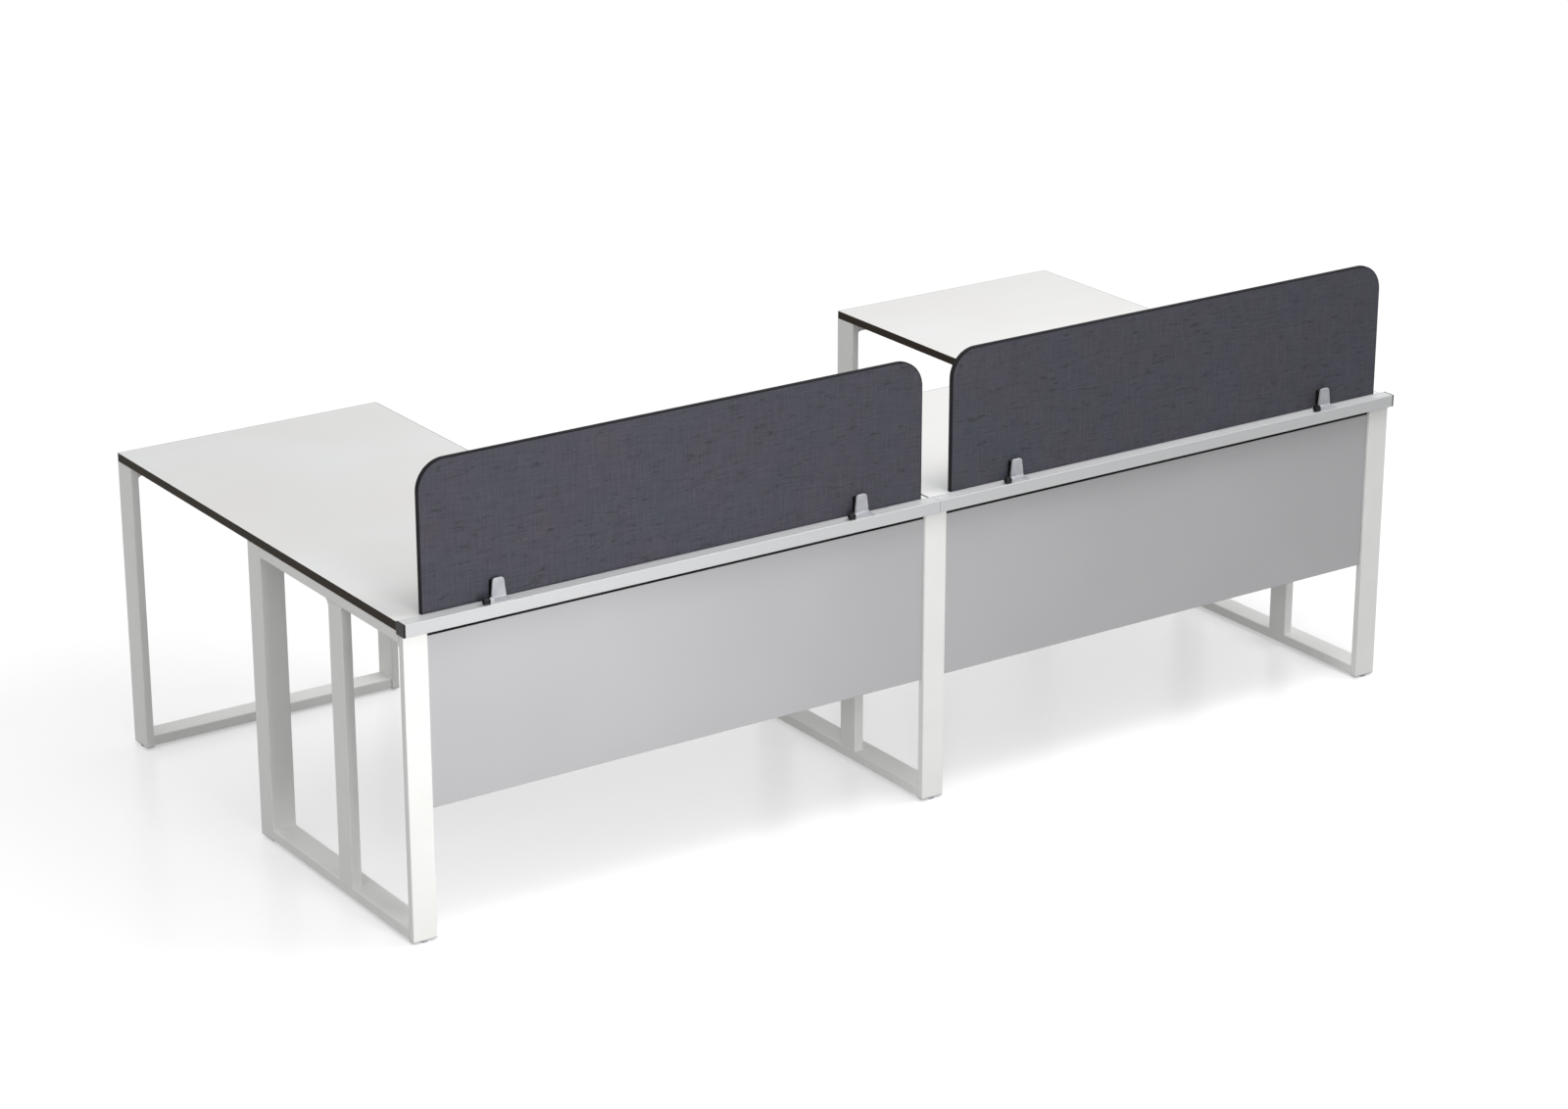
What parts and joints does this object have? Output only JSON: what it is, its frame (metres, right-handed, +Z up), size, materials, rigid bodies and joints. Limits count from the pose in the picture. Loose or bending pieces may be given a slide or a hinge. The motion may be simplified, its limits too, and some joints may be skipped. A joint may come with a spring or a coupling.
{
  "type": "benching workstation",
  "caption": "Office bench with mirrored L-shaped tops, fabric screens clipped to an aluminium rail, grey modesty panels and white tube frames",
  "frame": {"origin": "On the floor, under the middle of the bench's overall box", "axes": "X runs along the bench, Y from the screen side to the far ends of the returns, Z up"},
  "size_m": [2.81, 1.4, 1.085],
  "materials": {
    "desktop_board": "pale grey laminate, matt",
    "edge_band": "dark brown edge band",
    "screen_felt": "charcoal heather wool",
    "panel_board": "mid grey laminate, matt",
    "rail_metal": "anodised, satin",
    "frame_paint": "white powder coat",
    "clip_cast": "light grey powder coat on die casting",
    "dark_plastic": "moulded, fine grain",
    "grey_plastic": "moulded, fine grain",
    "pad_rubber": "soft pad",
    "zinc_steel": "zinc plated"
  },
  "bodies": {
    "bench": {"desktop_left": "desktop_board", "edge_band_left": "edge_band", "screen_left": "screen_felt", "modesty_panel_left": "panel_board", "panel_seal_left": "pad_rubber", "accessory_rail_left": "rail_metal", "rail_end_cap_left": "dark_plastic", "return_frame_left": "frame_paint", "front_beam_left": "frame_paint", "rear_beam_left": "frame_paint", "return_beam_outer_left": "frame_paint", "return_beam_inner_left": "frame_paint", "desktop_right": "desktop_board", "edge_band_right": "edge_band", "screen_right": "screen_felt", "modesty_panel_right": "panel_board", "panel_seal_right": "pad_rubber", "accessory_rail_right": "rail_metal", "rail_end_cap_right": "dark_plastic", "return_frame_right": "frame_paint", "front_beam_right": "frame_paint", "rear_beam_right": "frame_paint", "return_beam_outer_right": "frame_paint", "return_beam_inner_right": "frame_paint", "frame_left": "frame_paint", "frame_middle": "frame_paint", "frame_right": "frame_paint", "rail_splice": "rail_metal", "rail_bolts": "zinc_steel", "screen_clip_1": "clip_cast", "screen_clip_2": "clip_cast", "screen_clip_3": "clip_cast", "screen_clip_4": "clip_cast", "clip_pads": "pad_rubber", "screen_screws": "zinc_steel", "beam_end_plates": "zinc_steel", "beam_bolts": "zinc_steel", "desktop_brackets": "zinc_steel", "bracket_screws": "zinc_steel", "panel_plates": "zinc_steel", "panel_screws": "zinc_steel", "leg_plugs": "grey_plastic"},
    "glide_left_front": {"glide_left_front": "grey_plastic"},
    "glide_left_rear": {"glide_left_rear": "grey_plastic"},
    "glide_middle_front": {"glide_middle_front": "grey_plastic"},
    "glide_middle_rear": {"glide_middle_rear": "grey_plastic"},
    "glide_right_front": {"glide_right_front": "grey_plastic"},
    "glide_right_rear": {"glide_right_rear": "grey_plastic"},
    "glide_left_return_outer": {"glide_left_return_outer": "grey_plastic"},
    "glide_left_return_inner": {"glide_left_return_inner": "grey_plastic"},
    "glide_right_return_outer": {"glide_right_return_outer": "grey_plastic"},
    "glide_right_return_inner": {"glide_right_return_inner": "grey_plastic"},
    "clamp_knob_1": {"clamp_knob_1": "dark_plastic"},
    "clamp_knob_2": {"clamp_knob_2": "dark_plastic"},
    "clamp_knob_3": {"clamp_knob_3": "dark_plastic"},
    "clamp_knob_4": {"clamp_knob_4": "dark_plastic"}
  },
  "joints": [
    {"name": "turn_glide_left_front", "type": "hinge", "parent": "bench", "child": "glide_left_front", "pos_m": [-1.37, -0.676, 0.005], "axis": [0, 0, 1], "continuous": true},
    {"name": "turn_glide_left_rear", "type": "hinge", "parent": "bench", "child": "glide_left_rear", "pos_m": [-1.37, -0.001, 0.005], "axis": [0, 0, 1], "continuous": true},
    {"name": "turn_glide_middle_front", "type": "hinge", "parent": "bench", "child": "glide_middle_front", "pos_m": [0, -0.676, 0.005], "axis": [0, 0, 1], "continuous": true},
    {"name": "turn_glide_middle_rear", "type": "hinge", "parent": "bench", "child": "glide_middle_rear", "pos_m": [0, -0.03, 0.005], "axis": [0, 0, 1], "continuous": true},
    {"name": "turn_glide_right_front", "type": "hinge", "parent": "bench", "child": "glide_right_front", "pos_m": [1.37, -0.676, 0.005], "axis": [0, 0, 1], "continuous": true},
    {"name": "turn_glide_right_rear", "type": "hinge", "parent": "bench", "child": "glide_right_rear", "pos_m": [1.37, -0.001, 0.005], "axis": [0, 0, 1], "continuous": true},
    {"name": "turn_glide_left_return_outer", "type": "hinge", "parent": "bench", "child": "glide_left_return_outer", "pos_m": [-1.39, 0.665, 0.005], "axis": [0, 0, 1], "continuous": true},
    {"name": "turn_glide_left_return_inner", "type": "hinge", "parent": "bench", "child": "glide_left_return_inner", "pos_m": [-0.71, 0.665, 0.005], "axis": [0, 0, 1], "continuous": true},
    {"name": "turn_glide_right_return_outer", "type": "hinge", "parent": "bench", "child": "glide_right_return_outer", "pos_m": [1.39, 0.665, 0.005], "axis": [0, 0, 1], "continuous": true},
    {"name": "turn_glide_right_return_inner", "type": "hinge", "parent": "bench", "child": "glide_right_return_inner", "pos_m": [0.71, 0.665, 0.005], "axis": [0, 0, 1], "continuous": true},
    {"name": "turn_clamp_knob_1", "type": "hinge", "parent": "bench", "child": "clamp_knob_1", "pos_m": [-1.1913, -0.6915, 0.759], "axis": [-1, 0, 0], "continuous": true},
    {"name": "turn_clamp_knob_2", "type": "hinge", "parent": "bench", "child": "clamp_knob_2", "pos_m": [-0.2363, -0.6915, 0.759], "axis": [-1, 0, 0], "continuous": true},
    {"name": "turn_clamp_knob_3", "type": "hinge", "parent": "bench", "child": "clamp_knob_3", "pos_m": [0.2087, -0.6915, 0.759], "axis": [-1, 0, 0], "continuous": true},
    {"name": "turn_clamp_knob_4", "type": "hinge", "parent": "bench", "child": "clamp_knob_4", "pos_m": [1.1637, -0.6915, 0.759], "axis": [-1, 0, 0], "continuous": true}
  ]
}
